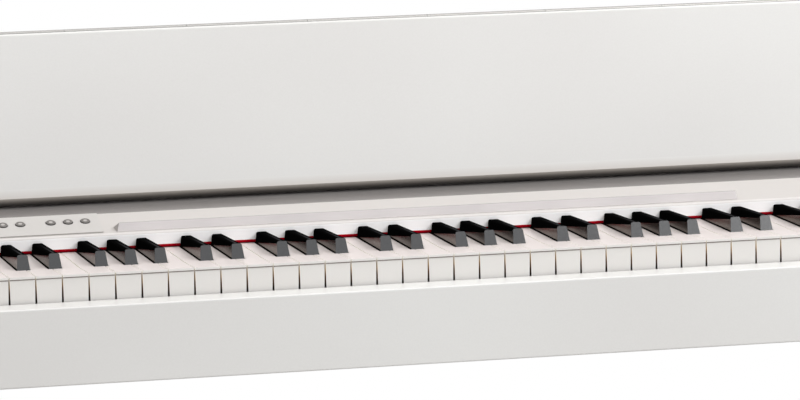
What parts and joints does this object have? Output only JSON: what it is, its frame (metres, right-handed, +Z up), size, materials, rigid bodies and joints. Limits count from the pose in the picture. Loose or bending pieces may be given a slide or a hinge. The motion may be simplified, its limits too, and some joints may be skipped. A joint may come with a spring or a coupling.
{
  "type": "digital piano on stand",
  "caption": "Slim white digital piano on a panel-leg stand, with a folding lid that stands up as the music rest, hinged keys, control buttons and three pedals.",
  "frame": {"origin": "on the floor under the centre of the feet", "axes": "+X to the player's right along the keyboard, +Y to the rear, +Z up"},
  "size_m": [1.36, 0.366, 0.918],
  "materials": {
    "white_lacquer": "satin white foil on particle board",
    "white_panel": "satin moulded plastic",
    "grey_deck": "dark grey gloss foil on particle board",
    "plate_white": "satin moulded plastic",
    "key_white": "polished moulded plastic",
    "key_black": "polished moulded plastic",
    "button_grey": "silver-grey satin",
    "red_felt": "wool felt",
    "grey_felt": "wool felt",
    "chassis_plastic": "moulded",
    "circuit_board": "solder mask",
    "steel": "bright steel",
    "pedal_brass": "polished brass",
    "black_plastic": "moulded"
  },
  "bodies": {
    "cabinet": {"front_rail": "white_lacquer", "side_panel_left": "white_lacquer", "side_panel_right": "white_lacquer", "cheek_blocks": "white_lacquer", "rear_panel": "white_lacquer", "leg_left": "white_lacquer", "leg_right": "white_lacquer", "foot_left": "white_lacquer", "foot_right": "white_lacquer", "stand_back_board": "white_lacquer", "pedal_box": "white_lacquer", "keybed": "white_lacquer", "control_panel": "white_panel", "music_ledge": "white_panel", "rear_deck": "grey_deck", "button_plate": "plate_white", "red_felt_strip": "red_felt", "key_stop_felt": "grey_felt", "key_chassis": "chassis_plastic", "contact_board": "circuit_board", "main_board": "circuit_board", "panel_board": "circuit_board", "key_pivot_rod": "steel", "lid_pivot_pins": "steel", "pedal_rod": "steel", "stand_bolts": "steel", "headphone_box": "black_plastic", "speakers": "black_plastic"},
    "white_key_c4": {"white_key_c4": "key_white"},
    "black_key_c_sharp4": {"black_key_c_sharp4": "key_black"},
    "white_key_d4": {"white_key_d4": "key_white"},
    "black_key_d_sharp4": {"black_key_d_sharp4": "key_black"},
    "white_key_e4": {"white_key_e4": "key_white"},
    "white_key_f4": {"white_key_f4": "key_white"},
    "black_key_f_sharp4": {"black_key_f_sharp4": "key_black"},
    "white_key_g4": {"white_key_g4": "key_white"},
    "black_key_g_sharp4": {"black_key_g_sharp4": "key_black"},
    "white_key_a4": {"white_key_a4": "key_white"},
    "black_key_a_sharp4": {"black_key_a_sharp4": "key_black"},
    "white_key_b4": {"white_key_b4": "key_white"},
    "white_keys_low": {"white_keys_low": "key_white"},
    "white_keys_high": {"white_keys_high": "key_white"},
    "black_keys_low": {"black_keys_low": "key_black"},
    "black_keys_high": {"black_keys_high": "key_black"},
    "lid": {"lid_rear_leaf": "white_lacquer", "lid_hinge_rear": "steel"},
    "lid_front": {"lid_front_leaf": "white_lacquer", "lid_hinge_front": "steel"},
    "tone_button_1": {"tone_button_1": "button_grey"},
    "tone_button_2": {"tone_button_2": "button_grey"},
    "tone_button_3": {"tone_button_3": "button_grey"},
    "function_button_1": {"function_button_1": "button_grey"},
    "function_button_2": {"function_button_2": "button_grey"},
    "function_button_3": {"function_button_3": "button_grey"},
    "power_button": {"power_button": "button_grey"},
    "volume_knob": {"volume_knob": "button_grey"},
    "soft_pedal": {"soft_pedal": "pedal_brass"},
    "sostenuto_pedal": {"sostenuto_pedal": "pedal_brass"},
    "damper_pedal": {"damper_pedal": "pedal_brass"},
    "level_adjuster": {"level_adjuster": "black_plastic"}
  },
  "joints": [
    {"name": "white_key_c4_pivot", "type": "hinge", "parent": "cabinet", "child": "white_key_c4", "pos_m": [0, 0.095, 0.728], "axis": [1, 0, 0], "range_deg": [0, 2.41], "stiffness_Nm_per_rad": 2, "springref_deg": -5.73},
    {"name": "black_key_c_sharp4_pivot", "type": "hinge", "parent": "cabinet", "child": "black_key_c_sharp4", "pos_m": [0, 0.095, 0.728], "axis": [1, 0, 0], "range_deg": [0, 2.41], "stiffness_Nm_per_rad": 1.5, "springref_deg": -5.73},
    {"name": "white_key_d4_pivot", "type": "hinge", "parent": "cabinet", "child": "white_key_d4", "pos_m": [0, 0.095, 0.728], "axis": [1, 0, 0], "range_deg": [0, 2.41], "stiffness_Nm_per_rad": 2, "springref_deg": -5.73},
    {"name": "black_key_d_sharp4_pivot", "type": "hinge", "parent": "cabinet", "child": "black_key_d_sharp4", "pos_m": [0, 0.095, 0.728], "axis": [1, 0, 0], "range_deg": [0, 2.41], "stiffness_Nm_per_rad": 1.5, "springref_deg": -5.73},
    {"name": "white_key_e4_pivot", "type": "hinge", "parent": "cabinet", "child": "white_key_e4", "pos_m": [0, 0.095, 0.728], "axis": [1, 0, 0], "range_deg": [0, 2.41], "stiffness_Nm_per_rad": 2, "springref_deg": -5.73},
    {"name": "white_key_f4_pivot", "type": "hinge", "parent": "cabinet", "child": "white_key_f4", "pos_m": [0, 0.095, 0.728], "axis": [1, 0, 0], "range_deg": [0, 2.41], "stiffness_Nm_per_rad": 2, "springref_deg": -5.73},
    {"name": "black_key_f_sharp4_pivot", "type": "hinge", "parent": "cabinet", "child": "black_key_f_sharp4", "pos_m": [0, 0.095, 0.728], "axis": [1, 0, 0], "range_deg": [0, 2.41], "stiffness_Nm_per_rad": 1.5, "springref_deg": -5.73},
    {"name": "white_key_g4_pivot", "type": "hinge", "parent": "cabinet", "child": "white_key_g4", "pos_m": [0, 0.095, 0.728], "axis": [1, 0, 0], "range_deg": [0, 2.41], "stiffness_Nm_per_rad": 2, "springref_deg": -5.73},
    {"name": "black_key_g_sharp4_pivot", "type": "hinge", "parent": "cabinet", "child": "black_key_g_sharp4", "pos_m": [0, 0.095, 0.728], "axis": [1, 0, 0], "range_deg": [0, 2.41], "stiffness_Nm_per_rad": 1.5, "springref_deg": -5.73},
    {"name": "white_key_a4_pivot", "type": "hinge", "parent": "cabinet", "child": "white_key_a4", "pos_m": [0, 0.095, 0.728], "axis": [1, 0, 0], "range_deg": [0, 2.41], "stiffness_Nm_per_rad": 2, "springref_deg": -5.73},
    {"name": "black_key_a_sharp4_pivot", "type": "hinge", "parent": "cabinet", "child": "black_key_a_sharp4", "pos_m": [0, 0.095, 0.728], "axis": [1, 0, 0], "range_deg": [0, 2.41], "stiffness_Nm_per_rad": 1.5, "springref_deg": -5.73},
    {"name": "white_key_b4_pivot", "type": "hinge", "parent": "cabinet", "child": "white_key_b4", "pos_m": [0, 0.095, 0.728], "axis": [1, 0, 0], "range_deg": [0, 2.41], "stiffness_Nm_per_rad": 2, "springref_deg": -5.73},
    {"name": "white_keys_low_pivot", "type": "hinge", "parent": "cabinet", "child": "white_keys_low", "pos_m": [0, 0.095, 0.728], "axis": [1, 0, 0], "range_deg": [0, 2.41], "stiffness_Nm_per_rad": 46, "springref_deg": -5.73},
    {"name": "white_keys_high_pivot", "type": "hinge", "parent": "cabinet", "child": "white_keys_high", "pos_m": [0, 0.095, 0.728], "axis": [1, 0, 0], "range_deg": [0, 2.41], "stiffness_Nm_per_rad": 44, "springref_deg": -5.73},
    {"name": "black_keys_low_pivot", "type": "hinge", "parent": "cabinet", "child": "black_keys_low", "pos_m": [0, 0.095, 0.728], "axis": [1, 0, 0], "range_deg": [0, 2.41], "stiffness_Nm_per_rad": 24, "springref_deg": -5.73},
    {"name": "black_keys_high_pivot", "type": "hinge", "parent": "cabinet", "child": "black_keys_high", "pos_m": [0, 0.095, 0.728], "axis": [1, 0, 0], "range_deg": [0, 2.41], "stiffness_Nm_per_rad": 22.5, "springref_deg": -5.73},
    {"name": "lid_hinge", "type": "hinge", "parent": "cabinet", "child": "lid", "pos_m": [0, 0.14, 0.7715], "axis": [1, 0, 0], "range_deg": [0, 97]},
    {"name": "lid_fold", "type": "hinge", "parent": "lid", "child": "lid_front", "pos_m": [0, 0.1653, 0.91599], "axis": [1, 0, 0], "range_deg": [0, 180]},
    {"name": "tone_button_1_press", "type": "slide", "parent": "cabinet", "child": "tone_button_1", "axis": [0, 0.3322, -0.9432], "range_m": [0, 0.001], "stiffness_N_per_m": 1000, "springref_m": -0.0005},
    {"name": "tone_button_2_press", "type": "slide", "parent": "cabinet", "child": "tone_button_2", "axis": [0, 0.3322, -0.9432], "range_m": [0, 0.001], "stiffness_N_per_m": 1000, "springref_m": -0.0005},
    {"name": "tone_button_3_press", "type": "slide", "parent": "cabinet", "child": "tone_button_3", "axis": [0, 0.3322, -0.9432], "range_m": [0, 0.001], "stiffness_N_per_m": 1000, "springref_m": -0.0005},
    {"name": "function_button_1_press", "type": "slide", "parent": "cabinet", "child": "function_button_1", "axis": [0, 0.3322, -0.9432], "range_m": [0, 0.001], "stiffness_N_per_m": 1000, "springref_m": -0.0005},
    {"name": "function_button_2_press", "type": "slide", "parent": "cabinet", "child": "function_button_2", "axis": [0, 0.3322, -0.9432], "range_m": [0, 0.001], "stiffness_N_per_m": 1000, "springref_m": -0.0005},
    {"name": "function_button_3_press", "type": "slide", "parent": "cabinet", "child": "function_button_3", "axis": [0, 0.3322, -0.9432], "range_m": [0, 0.001], "stiffness_N_per_m": 1000, "springref_m": -0.0005},
    {"name": "power_button_press", "type": "slide", "parent": "cabinet", "child": "power_button", "axis": [0, 0.3322, -0.9432], "range_m": [0, 0.001], "stiffness_N_per_m": 1000, "springref_m": -0.0005},
    {"name": "volume_knob_turn", "type": "hinge", "parent": "cabinet", "child": "volume_knob", "pos_m": [-0.462, 0.01758, 0.7579], "axis": [0, -0.3322, 0.9432], "range_deg": [-140, 140]},
    {"name": "soft_pedal_pivot", "type": "hinge", "parent": "cabinet", "child": "soft_pedal", "pos_m": [-0.07, 0.09, 0.08], "axis": [1, 0, 0], "range_deg": [0, 6.81], "stiffness_Nm_per_rad": 8, "springref_deg": -8.59},
    {"name": "sostenuto_pedal_pivot", "type": "hinge", "parent": "cabinet", "child": "sostenuto_pedal", "pos_m": [0, 0.09, 0.08], "axis": [1, 0, 0], "range_deg": [0, 6.81], "stiffness_Nm_per_rad": 8, "springref_deg": -8.59},
    {"name": "damper_pedal_pivot", "type": "hinge", "parent": "cabinet", "child": "damper_pedal", "pos_m": [0.07, 0.09, 0.08], "axis": [1, 0, 0], "range_deg": [0, 6.81], "stiffness_Nm_per_rad": 8, "springref_deg": -8.59},
    {"name": "level_adjuster_screw", "type": "slide", "parent": "cabinet", "child": "level_adjuster", "axis": [0, 0, 1], "range_m": [0, 0.008]}
  ]
}
